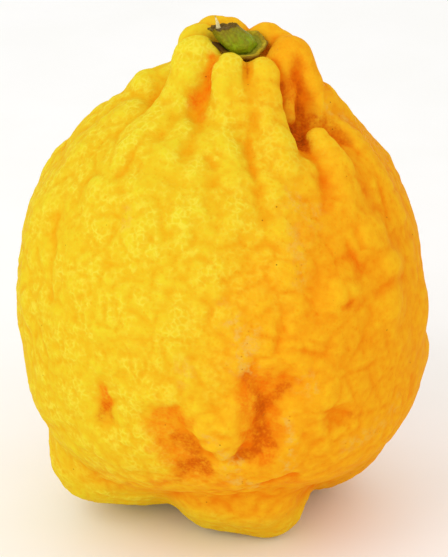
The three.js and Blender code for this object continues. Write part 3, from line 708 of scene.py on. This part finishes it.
def boxMap(made, centre):
    # One square of the map for each of the six ways that a face can look from the middle.
    mesh = made.data
    layer = mesh.uv_layers.new(name="OFBake")
    ways = readAll(mesh.vertices, "co", np.float32, 3).reshape(-1, 3) - np.array(centre) * metre
    corner = readAll(mesh.loops, "vertex_index", np.int32)
    face = np.repeat(np.arange(len(mesh.polygons)), readAll(mesh.polygons, "loop_total", np.int32))
    middle = np.stack([np.bincount(face, ways[corner, k]) for k in range(3)], 1)
    axis = np.abs(middle).argmax(1)
    side = axis * 2 + (middle[np.arange(len(axis)), axis] > 0)
    way, axis, side = ways[corner], axis[face], side[face]
    rows = np.arange(len(corner))
    deep = np.abs(way[rows, axis])
    fill, edge = 0.94, 0.495  # share of its square that each side fills, and how far it may reach at most
    u, v = (np.arctan(way[rows, (axis + k) % 3] / deep) / (math.pi / 2) * fill for k in (1, 2))
    u = (side % 3 + 0.5 + u.clip(-edge, edge)) / 3
    v = (side // 3 + 0.5 + v.clip(-edge, edge)) / 2
    layer.uv.foreach_set("vector", np.stack([u, v], 1).astype(np.float32).ravel())


boxMap(rind, (3, 0, 72))


# Helpers for the materials
def setInputs(tree, node, inputs):
    # Links what comes from another node, and sets what's a plain value.
    for name, value in inputs.items():
        if isinstance(value, bpy.types.NodeSocket):
            tree.links.new(value, node.inputs[name])
        else:
            node.inputs[name].default_value = value


def addNode(tree, kind, inputs, **settings):
    node = tree.nodes.new(kind)
    for name, value in settings.items():
        setattr(node, name, value)
    setInputs(tree, node, inputs)
    return node


def colour(tone):
    # A screen colour from 0 to 255 as the linear colour that a shader wants. A socket stays as it is.
    if isinstance(tone, bpy.types.NodeSocket):
        return tone
    levels = [value / 255 for value in tone]
    return (*(v / 12.92 if v <= 0.04045 else ((v + 0.055) / 1.055) ** 2.4 for v in levels), 1)


def mixIn(tree, factor, base, top, blend="MIX"):
    inputs = {0: factor, 6: colour(base), 7: colour(top)}
    return addNode(tree, "ShaderNodeMix", inputs, data_type="RGBA", blend_type=blend).outputs[2]


def calc(tree, operation, a, b=0.0, c=0.0):
    # MULTIPLY_ADD gives a * b + c. The others take only a and b.
    inputs = {0: a, 1: b, 2: c} if operation == "MULTIPLY_ADD" else {0: a, 1: b}
    return addNode(tree, "ShaderNodeMath", inputs, operation=operation).outputs[0]


def span(tree, value, low, high, start=0.0, end=1.0):
    # Goes smoothly from start to end while the value goes from low to high.
    inputs = {"Value": value, "From Min": low, "From Max": high, "To Min": start, "To Max": end}
    return addNode(tree, "ShaderNodeMapRange", inputs, interpolation_type="SMOOTHSTEP").outputs[0]


def mask(tree, name):
    return addNode(tree, "ShaderNodeAttribute", {}, attribute_name=name).outputs["Fac"]


def objectPlace(tree):
    return addNode(tree, "ShaderNodeTexCoord", {}).outputs["Object"]


def times(tree, *values):
    product = values[0]
    for value in values[1:]:
        product = calc(tree, "MULTIPLY", product, value)
    return product


def lay(tree, base, tint, *shares, blend="MIX"):
    # Lays a tint over the base as strongly as its shares say, multiplied together.
    return mixIn(tree, times(tree, *shares), base, tint, blend)


def layAll(tree, tone, look, layers):
    # Lays the named tints of a look over the tone, one after another.
    for tint, *shares in layers:
        tone = lay(tree, tone, look[tint], *shares)
    return tone


def fineBump(tree, height, strength):
    inputs = {"Height": height, "Distance": 0.3 * metre, "Strength": strength}
    return addNode(tree, "ShaderNodeBump", inputs).outputs[0]


def newGroup(name, values):
    # A group that takes a place and the named values, and gives a mask.
    tree = bpy.data.node_groups.new(name, "ShaderNodeTree")
    tree.interface.new_socket("Place", in_out="INPUT", socket_type="NodeSocketVector")
    for label, value in values.items():
        tree.interface.new_socket(label, in_out="INPUT", socket_type="NodeSocketFloat").default_value = value
    tree.interface.new_socket("Mask", in_out="OUTPUT", socket_type="NodeSocketFloat")
    return tree, tree.nodes.new("NodeGroupInput").outputs, tree.nodes.new("NodeGroupOutput").inputs


def newMaterial(name):
    material = bpy.data.materials.new(name)
    material.use_nodes = True
    tree = material.node_tree
    tree.nodes.clear()
    shader = tree.nodes.new("ShaderNodeBsdfPrincipled")
    output = tree.nodes.new("ShaderNodeOutputMaterial")
    tree.links.new(shader.outputs["BSDF"], output.inputs["Surface"])
    return material, tree, shader


# Mottle: soft uneven colour, used by the rind, calyx, stem, fibre and table.
mottleGroup, given, made = newGroup("mottle", {"Size": 5.0, "Low": 0.35, "High": 0.65})
mottleNoise = addNode(mottleGroup, "ShaderNodeTexNoise", {
    "Vector": given["Place"], "Scale": calc(mottleGroup, "DIVIDE", 1 / metre, given["Size"]), "Detail": 3.0,
    "Roughness": 0.55})
mottleGroup.links.new(span(mottleGroup, mottleNoise.outputs[0], given["Low"], given["High"]), made["Mask"])

# Specks: sparse small dots, used by the rind and stem.
speckGroup, given, made = newGroup("specks", {"Spacing": 5.0, "Rarity": 0.8, "Radius": 0.3})
speckCells = addNode(speckGroup, "ShaderNodeTexVoronoi", {
    "Vector": given["Place"], "Scale": calc(speckGroup, "DIVIDE", 1 / metre, given["Spacing"])})
speckChance = addNode(speckGroup, "ShaderNodeSeparateColor", {0: speckCells.outputs["Color"]}).outputs[0]
speckChosen = calc(speckGroup, "GREATER_THAN", speckChance, given["Rarity"])
speckReach = calc(speckGroup, "DIVIDE", given["Radius"], given["Spacing"])
speckInner = calc(speckGroup, "MULTIPLY", speckReach, 0.4)
speckDot = span(speckGroup, speckCells.outputs["Distance"], speckInner, speckReach, 1.0, 0.0)
speckGroup.links.new(times(speckGroup, speckDot, speckChosen), made["Mask"])


def mottle(tree, place, size, low=0.35, high=0.65):
    inputs = {"Place": place, "Size": size, "Low": low, "High": high}
    return addNode(tree, "ShaderNodeGroup", inputs, node_tree=mottleGroup).outputs[0]


def specksOn(tree, place, spacing, rarity, radius):
    inputs = {"Place": place, "Spacing": spacing, "Rarity": rarity, "Radius": radius}
    return addNode(tree, "ShaderNodeGroup", inputs, node_tree=speckGroup).outputs[0]


# Colours and gloss of the rind, and how deep its oil glands look. Lemon is less ripe than orange.
rindLook = {
    # Crest tones are lighter partly by painted highlight, valley tones darker partly by painted shade.
    "lemonCrestLit": (227, 205, 43),
    "lemonValleyShade": (227, 166, 20),
    "orangeCrestLit": (241, 182, 30),
    "orangeValleyShade": (231, 127, 11),
    "glandRim": (238, 224, 76),
    "poreShade": (254, 244, 220),
    # Crease tones: partly the creases' own deeper orange, partly painted shade.
    "lemonCreaseShade": (237, 150, 10),
    "orangeCreaseShade": (234, 112, 5),
    "red": (230, 92, 6),
    "rust": (200, 88, 8),
    "brown": (156, 70, 10),
    "scar": (230, 176, 70),
    "speck": (122, 60, 10),
    "scarDot": (178, 104, 22),
    # The pit tone is painted shade in the stem pit.
    "pit": (88, 56, 12),
    "netSpacing": 1.9,  # the net of pale ridges round the glands, in mm
    "netBend": 1.1,
    "poreSpacing": 1.5,
    "bendScale": 420.0,  # bends in a metre
    "gritScale": 1300.0,
    "blotchScale": 420.0,
    "roughness": 0.5,
    "glandDepth": 0.4,
}


def noiseOn(tree, place, scale, detail=3.0):
    return addNode(tree, "ShaderNodeTexNoise", {"Vector": place, "Scale": scale, "Detail": detail}).outputs


def bentPlace(tree, place):
    # Bends the place a little, so that the glands aren't straight-sided cells.
    bend = noiseOn(tree, place, rindLook["bendScale"], 2.0)["Color"]
    for operation, inputs in (("SUBTRACT", {1: (0.5, 0.5, 0.5)}), ("SCALE", {3: rindLook["netBend"] * metre}),
                              ("ADD", {1: place})):
        bend = addNode(tree, "ShaderNodeVectorMath", {0: bend, **inputs}, operation=operation).outputs[0]
    return bend


def cellsOn(tree, place, spacing, feature="F1"):
    inputs = {"Vector": place, "Scale": 1 / (spacing * metre)}
    return addNode(tree, "ShaderNodeTexVoronoi", inputs, feature=feature).outputs["Distance"]


def addGlands(tree, place, tone, crestLight, broad, small):
    # A broken net of pale ridges on the crests of the lemon side, and faint pores all over.
    bent = bentPlace(tree, place)
    net = cellsOn(tree, bent, rindLook["netSpacing"], "DISTANCE_TO_EDGE")
    patches = mottle(tree, place, 8.0, 0.36, 0.62)
    lemonShare = calc(tree, "SUBTRACT", 1.0, mask(tree, "ripeness"))
    ridge = times(tree, span(tree, net, 0.0, 0.27, 1.0, 0.0), patches, lemonShare,
                  span(tree, crestLight, 0.35, 0.7, 0.15, 1.0), span(tree, small, 0.1, 0.6, 0.3, 1.0))
    tone = lay(tree, tone, rindLook["glandRim"], ridge, 0.5)
    dimple = span(tree, net, 0.2, 0.42)
    tone = lay(tree, tone, rindLook["poreShade"], dimple, patches, 0.6, blend="MULTIPLY")
    pore = span(tree, cellsOn(tree, bent, rindLook["poreSpacing"]), 0.1, 0.42, 1.0, 0.0)
    shown = span(tree, broad, 0.2, 0.8, 0.3, 1.0)
    tone = lay(tree, tone, rindLook["poreShade"], pore, shown, blend="MULTIPLY")
    return tone, ridge, pore


def addStainsAndShade(tree, place, tone, grit, blotch):
    # Red and brown stains, partly painted shade in the hollows, and painted shade on the pit's wall and
    # edge, all gritty, then scars and specks.
    gritty = times(tree, span(tree, grit, 0.3, 0.65, 0.6, 1.0), span(tree, blotch, 0.35, 0.6, 0.65, 1.0))
    # The brown stain grows darker in the valleys: painted shade.
    inValleys = calc(tree, "MULTIPLY_ADD", mask(tree, "valley"), 0.4, 0.6)
    brownStainShade = times(tree, mask(tree, "brownStainAndShade"), gritty, inValleys)
    scar = times(tree, mask(tree, "scar"), span(tree, blotch, 0.42, 0.6),
                 span(tree, grit, 0.35, 0.6, 0.3, 1.0))
    marred = calc(tree, "MAXIMUM", mask(tree, "scar"), mask(tree, "brownStainAndShade"))
    tone = layAll(tree, tone, rindLook, [
        ("red", mask(tree, "redStainAndShade"), gritty, 0.8),
        ("rust", span(tree, brownStainShade, 0.0, 0.6, 0.0, 0.9)),
        ("brown", span(tree, brownStainShade, 0.5, 1.0, 0.0, 0.9)),
        ("pit", mask(tree, "pitWallShade"), gritty),
        ("scar", scar, 0.85),
        ("scarDot", specksOn(tree, place, 1.5, 0.68, 0.34), marred, 0.6),
        ("speck", specksOn(tree, place, 4.0, 0.8, 0.3), 0.75),
    ])
    return tone, scar


def makeRindMaterial():
    material, tree, shader = newMaterial("citronRind")
    place = objectPlace(tree)
    ripeness = mask(tree, "ripeness")
    broad = mottle(tree, place, 4.5, 0.3, 0.7)
    small = mottle(tree, place, 1.7, 0.3, 0.7)

    # Crests lighter and valleys darker, partly the rind's own tone and partly painted highlight and
    # painted shade, broken up by two sizes of mottle.
    crestLight = calc(tree, "MULTIPLY_ADD", broad, 0.14, mask(tree, "standOut"))
    crestLight = calc(tree, "MULTIPLY_ADD", small, 0.16, calc(tree, "SUBTRACT", crestLight, 0.15))
    lemon = mixIn(tree, crestLight, rindLook["lemonValleyShade"], rindLook["lemonCrestLit"])
    orange = mixIn(tree, crestLight, rindLook["orangeValleyShade"], rindLook["orangeCrestLit"])
    tone = mixIn(tree, ripeness, lemon, orange)
    tone, ridge, pore = addGlands(tree, place, tone, crestLight, broad, small)

    # Darker in the drawn creases, partly their own deeper orange and partly painted shade, and painted
    # shade in the deepest valleys.
    creaseShadeTone = mixIn(tree, ripeness, rindLook["lemonCreaseShade"], rindLook["orangeCreaseShade"])
    drawn = times(tree, mask(tree, "drawnCrease"), calc(tree, "MULTIPLY_ADD", ripeness, 0.2, 0.25))
    creaseShade = calc(tree, "MAXIMUM", drawn, times(tree, mask(tree, "valley"), 0.5))
    tone = mixIn(tree, creaseShade, tone, creaseShadeTone)

    grit = noiseOn(tree, place, rindLook["gritScale"])[0]
    blotch = noiseOn(tree, place, rindLook["blotchScale"])[0]
    tone, scar = addStainsAndShade(tree, place, tone, grit, blotch)
    gloss = calc(tree, "MULTIPLY_ADD", broad, 0.1, rindLook["roughness"] - 0.05)
    gloss = calc(tree, "MULTIPLY_ADD", scar, 0.3, gloss)
    height = times(tree, pore, -0.5)
    for effect, share in ((ridge, 0.6), (grit, 0.25), (scar, 0.5)):
        height = calc(tree, "MULTIPLY_ADD", effect, share, height)
    setInputs(tree, shader, {
        "Base Color": tone, "Roughness": gloss, "Normal": fineBump(tree, height, rindLook["glandDepth"]),
        "Specular IOR Level": 0.003, "Subsurface Weight": 0.08, "Subsurface Radius": (1.0, 0.45, 0.08),
        "Subsurface Scale": 2 * metre})
    return material


rind.data.materials.append(makeRindMaterial())
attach(rind, "root")
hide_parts("citron_fruit")

# Calyx: the woody disc that the stem grows from.
calyxForm = {
    "middle": (6.8, 0.4, 152.6),
    "facing": (-0.12, -0.32, 0.94),
    "radius": 6.3,
    "lip": (-2.8, 0.28, 0.5, 4.2),  # dark lobe: angle, half angle, extra reach, rise
    "waves": [(0.045, 5, 0.6), (0.025, 13, 0)],  # of the rim in and out: size, count, turn
    "lifts": [(0.3, 5, 2.1), (0.14, 9, 0)],  # and up and down
    "profile": [(0, -1.7), (0.5, -1.5), (0.86, -0.7), (1.0, 0.35), (1.0, 0.85), (0.95, 1.2), (0.88, 1.25),
                (0.8, 0.95), (0.74, 0.5), (0.6, 0.4), (0.3, 0.5), (0, 0.5)],
    "rims": 96,
}


def turnedPoints(middle, facing, spots):
    # Spots given round +Z are turned to face the given way and set at middle.
    turn = Vector((0, 0, 1)).rotation_difference(Vector(facing).normalized())
    return np.array([tuple(Vector(middle) + turn @ Vector(spot)) for spot in spots])


def ripple(angle, waves):
    return sum(size * math.cos(count * angle + turn) for size, count, turn in waves)


def ringFaces(rings, sides):
    # Quads between the rings, and a fan round the point at each end.
    faces = []
    last = 1 + rings * sides
    for side in range(sides):
        after = (side + 1) % sides
        faces.append((0, 1 + after, 1 + side))
        faces.append((last, 1 + (rings - 1) * sides + side, 1 + (rings - 1) * sides + after))
        for ring in range(rings - 1):
            a, b = 1 + ring * sides + side, 1 + ring * sides + after
            faces.append((a, b, b + sides, a + sides))
    return faces


def lipAt(angle):
    # 1 in the middle of the dark lobe and 0 away from it.
    middle, width = calyxForm["lip"][:2]
    away = (angle - middle + math.pi) % (2 * math.pi) - math.pi
    return math.exp(-(away / width) ** 2)


print("turning the calyx")
sides = calyxForm["rims"]
profile = np.array(calyxForm["profile"])
stations = np.arange(1, 3 * (len(profile) - 1)) / 3  # each stretch of the profile in three
fineProfile = np.stack([np.interp(stations, np.arange(len(profile)), profile[:, k]) for k in range(2)], 1)
spots = [(0, 0, profile[0, 1])]
for out, height in fineProfile:
    for side in range(sides):
        angle = side * 2 * math.pi / sides
        lip = lipAt(angle)
        wave = 1 + (ripple(angle, calyxForm["waves"]) + calyxForm["lip"][2] * lip) * out ** 2
        lift = ripple(angle, calyxForm["lifts"]) * out ** 3 + calyxForm["lip"][3] * lip * out ** 4
        reach = out * calyxForm["radius"] * wave
        spots.append((reach * math.cos(angle), reach * math.sin(angle), height + lift))
spots.append((0, 0, profile[-1, 1]))
calyxPoints = turnedPoints(calyxForm["middle"], calyxForm["facing"], spots)
calyx = addMesh("calyxDisc", calyxPoints, ringFaces(len(fineProfile), sides))
outward = np.linalg.norm(np.array(spots)[:, :2], axis=1)
addMask(calyx, "outward", outward / calyxForm["radius"])
addMask(calyx, "darkLobe", np.array([lipAt(math.atan2(y, x)) for x, y, _ in spots]) * (outward / 5).clip(0, 1))

# Stem stub with a torn end, and the fibre that stands up from it. Lines: x, y, z, radius, from the base.
stemForm = {
    "line": [(6.2, 1, 152.5, 4.3), (5.4, 0, 153.7, 4.5), (4.2, -0.8, 155, 4.6), (2.8, -0.5, 156.4, 4.5),
             (1.4, 0, 157.8, 4.2), (0.4, 0.4, 158.7, 4.1)],
    "endFacing": (-0.15, 0.1, 0.98),
    "sides": 72,
    "rings": 44,
    "ridges": [(0.03, 7, 1.2), (0.02, 3, 0)],  # size, count, turn
    "tornFrom": 0.86,  # share of its length where the torn end starts
    "tornCap": [(0.93, 0.05), (0.84, 0.4), (0.7, 0.7), (0.5, 0.6), (0.3, 0.75), (0.12, 0.7)],  # share, sink
    "fibre": [(-1, 0.2, 158.2, 0.6), (-1.4, 0.4, 160.2, 0.34), (-2, 0.6, 161.9, 0.08)],
    "fibreSides": 10,
    "fibreRings": 14,
}


def smoothLine(stations, count):
    # Points evenly spaced in parameter along a Catmull-Rom line through the stations.
    table = np.array(stations, float)
    table = np.vstack([2 * table[0] - table[1], table, 2 * table[-1] - table[-2]])
    made = []
    for place in np.linspace(0, len(stations) - 1, count):
        i = min(int(place), len(stations) - 2)
        made.append(curveBetween(*table[i:i + 4], place - i))
    return np.array(made)


def sweep(line, facings, sides, shapeAt):
    # One ring for each place on the line, square to its facing. shapeAt(ring share, angle) gives a factor
    # for the radius and a shift along the facing.
    spots = []
    for k, (middle, facing) in enumerate(zip(line, facings)):
        across = np.array((1.0, 0, 0)) - facing * facing[0]
        across /= np.linalg.norm(across)
        up = np.cross(facing, across)
        for side in range(sides):
            angle = side * 2 * math.pi / sides
            factor, shift = shapeAt(k / (len(line) - 1), angle)
            way = across * math.cos(angle) + up * math.sin(angle)
            spots.append(middle[:3] + way * middle[3] * factor + facing * shift)
    return np.array(spots)


def stemShape(share, angle):
    def noiseRound(size, level):
        return noise.noise((math.cos(angle) * size, math.sin(angle) * size, level))

    ridge = ripple(angle, stemForm["ridges"]) + 0.05 * noiseRound(1.5, share * 4)
    torn = noiseRound(2.2, 4.0) + 0.5 * noiseRound(6, 9.0)
    ending = max(0, share - stemForm["tornFrom"]) / (1 - stemForm["tornFrom"])
    spike = 0.16 * ending * math.exp(-((angle - math.pi) / 0.3) ** 2)
    return 1 + ridge + spike, torn * 0.8 * ending


def alongRings(rings, sides, after=0):
    # 0 at the first point, up to 1 at the last ring, and 1 for what comes after.
    return np.concatenate([[0], np.repeat(np.linspace(0, 1, rings), sides), np.ones(after)])


print("shaping the stem")
stemLine = smoothLine(stemForm["line"], stemForm["rings"])
turning = rise(np.linspace(0, 1, stemForm["rings"]), 0.1, 0.95)[:, None]
startFacing, endFacing = np.array(calyxForm["facing"]), np.array(stemForm["endFacing"])
stemFacings = unitRows(startFacing * (1 - turning) + endFacing * turning)
sides = stemForm["sides"]
stemSpots = sweep(stemLine, stemFacings, sides, stemShape)
tip = stemSpots[-sides:]
tipMiddle = tip.mean(0)
capRings = []
for inner, sink in stemForm["tornCap"]:
    ring = tipMiddle + (tip - tipMiddle) * inner - stemFacings[-1] * sink
    ring += stemFacings[-1] * 0.4 * noiseAt(ring, 1.1, 2.0)[:, None]
    capRings.append(ring)
stemPoints = np.vstack([stemLine[:1, :3], stemSpots, *capRings, (tipMiddle - stemFacings[-1] * 0.6)[None]])
rings = stemForm["rings"] + len(capRings)
capCount = len(capRings) * sides + 1
stem = addMesh("stemStub", stemPoints, ringFaces(rings, sides))
share = alongRings(stemForm["rings"], sides, capCount)
addMask(stem, "along", share)
angles = np.tile(np.arange(sides) * 2 * math.pi / sides, rings)
streak = noiseAt(np.stack([np.cos(angles) * 8, np.sin(angles) * 8, share[1:-1] * 3], 1), 1.0, 5.0)
addMask(stem, "streak", rise(np.concatenate([[0], streak, [0]]), -0.2, 0.7))
cut = np.zeros(len(stemPoints))
cut[-capCount:] = 1
cut[-capCount - 2 * sides:-capCount] = 0.6  # the last two rings of the bark
addMask(stem, "cutEnd", cut)

fibreLine = smoothLine(stemForm["fibre"], stemForm["fibreRings"])
fibreFacings = unitRows(np.gradient(fibreLine[:, :3], axis=0))
sides = stemForm["fibreSides"]
fibreSpots = sweep(fibreLine, fibreFacings, sides, lambda share, angle: (1 + 0.2 * math.cos(2 * angle), 0))
fibrePoints = np.vstack([fibreLine[:1, :3], fibreSpots, fibreLine[-1:, :3]])
fibre = addMesh("tornFibre", fibrePoints, ringFaces(stemForm["fibreRings"], sides))
addMask(fibre, "along", alongRings(stemForm["fibreRings"], sides, 1))

# Colours of the stem, its fibre and the calyx.
stemLook = {
    "green": (142, 166, 12),
    "darkGreen": (84, 92, 12),
    "olive": (142, 124, 18),
    "torn": (118, 90, 20),
    "tornDark": (66, 44, 12),
    "straw": (236, 220, 160),
    "darkLobe": (84, 56, 18),
    "calyxKhaki": (192, 170, 32),
    "calyxBrown": (124, 84, 18),
    "calyxGroove": (146, 140, 32),
}


def makeCalyxMaterial():
    material, tree, shader = newMaterial("calyxWood")
    place = objectPlace(tree)
    mottled = mottle(tree, place, 1.4)
    outward = mask(tree, "outward")
    tone = layAll(tree, stemLook["calyxKhaki"], stemLook, [
        ("calyxBrown", mottled, 0.35),
        ("calyxBrown", mottle(tree, place, 3.0, 0.5, 0.62), 0.5),
        ("calyxBrown", span(tree, outward, 0.93, 1.02), 0.8),
        ("calyxGroove", span(tree, outward, 0.72, 0.82, 1.0, 0.0)),
        ("darkLobe", span(tree, mask(tree, "darkLobe"), 0.2, 0.7, 0.0, 0.95)),
    ])
    setInputs(tree, shader, {
        "Base Color": tone, "Roughness": calc(tree, "MULTIPLY_ADD", mottled, 0.15, 0.6),
        "Normal": fineBump(tree, mottled, 0.7), "Specular IOR Level": 0.1})
    return material


def makeStemMaterial():
    material, tree, shader = newMaterial("greenStem")
    place = objectPlace(tree)
    mottled = mottle(tree, place, 2.0, 0.4, 0.65)
    fine = mottle(tree, place, 0.7)
    along = mask(tree, "along")
    cutEnd = mask(tree, "cutEnd")
    tone = layAll(tree, stemLook["green"], stemLook, [
        ("olive", mottled, 0.5),
        ("olive", span(tree, along, 0.35, 0.95, 0.0, 0.85)),
        ("darkGreen", span(tree, along, 0.0, 0.25, 0.9, 0.0)),
        ("darkGreen", fine, 0.3),
        ("torn", specksOn(tree, place, 1.1, 0.6, 0.22), 0.6),
        ("torn", mask(tree, "streak"), span(tree, along, 0.35, 0.95, 0.05, 0.6)),
        ("torn", cutEnd),
        ("tornDark", cutEnd, fine, 0.6),
    ])
    height = calc(tree, "MULTIPLY_ADD", fine, 0.5, mottled)
    setInputs(tree, shader, {
        "Base Color": tone, "Roughness": calc(tree, "MULTIPLY_ADD", fine, 0.15, 0.45),
        "Normal": fineBump(tree, height, 0.6), "Specular IOR Level": 0.12})
    return material


def makeFibreMaterial():
    material, tree, shader = newMaterial("paleFibre")
    fine = mottle(tree, objectPlace(tree), 0.5)
    tone = layAll(tree, stemLook["straw"], stemLook, [
        ("olive", fine, 0.3),
        ("torn", span(tree, mask(tree, "along"), 0.8, 1.0)),
    ])
    setInputs(tree, shader, {"Base Color": tone, "Roughness": calc(tree, "MULTIPLY_ADD", fine, 0.2, 0.6)})
    return material


for piece, material, node, slot in (
        (calyx, makeCalyxMaterial(), "calyx", "calyx"),
        (stem, makeStemMaterial(), "stem_stub", "stem"),
        (fibre, makeFibreMaterial(), "stem_stub", "stem")):
    piece.data.materials.append(material)
    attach(piece, "root")
    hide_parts(node)

print("laying the table and the light")
studio = {
    "tableSize": 12.0,
    "tableColours": ((250, 249, 246), (252, 251, 249)),
    "skyStrength": 0.97,
    "keyLight": ((-0.55, -0.55, 0.75), 1.9, 0.6),  # place, power, size
    "lowFill": ((-0.1, -0.95, 0.1), 1.0, 0.6),
    "aim": (0.0006, 0.0, 0.079),
    "distance": 0.8,
    "elevation": 25,
    "fieldWidth": 0.1344,  # metres seen across the picture at the aim
}

half = studio["tableSize"] / 2 / metre
corners = np.array([(x * half, y * half, 0) for x, y in ((-1, -1), (1, -1), (1, 1), (-1, 1))])
table = addMesh("table", corners, [(0, 1, 2, 3)])
tableMaterial, tree, shader = newMaterial("paleTable")
tableTone = mixIn(tree, mottle(tree, objectPlace(tree), 60.0, 0.3, 0.7), *studio["tableColours"])
setInputs(tree, shader, {"Base Color": tableTone, "Roughness": 0.9, "Specular IOR Level": 0.1})
table.data.materials.append(tableMaterial)

world = bpy.data.worlds.new("studioAir")
world.use_nodes = True
world.node_tree.nodes["Background"].inputs[0].default_value = (1, 1, 1, 1)
world.node_tree.nodes["Background"].inputs[1].default_value = studio["skyStrength"]
bpy.context.scene.world = world

for name in ("keyLight", "lowFill"):
    place, power, size = studio[name]
    data = bpy.data.lights.new(name, "AREA")
    data.energy = power
    data.size = size
    light = addObject(name, data)
    light.location = place
    light.rotation_euler = (Vector(studio["aim"]) - Vector(place)).to_track_quat("-Z", "Y").to_euler()

cameraData = bpy.data.cameras.new("viewCamera")
cameraData.sensor_fit = "HORIZONTAL"
cameraData.sensor_width = 36
cameraData.lens = cameraData.sensor_width * studio["distance"] / studio["fieldWidth"]
camera = addObject("viewCamera", cameraData)
lift = math.radians(studio["elevation"])
camera.location = Vector(studio["aim"]) + studio["distance"] * Vector((0, -math.cos(lift), math.sin(lift)))
camera.rotation_euler = (math.radians(90) - lift, 0, 0)
bpy.context.scene.camera = camera
bpy.context.scene.view_settings.view_transform = "Standard"

print("done")
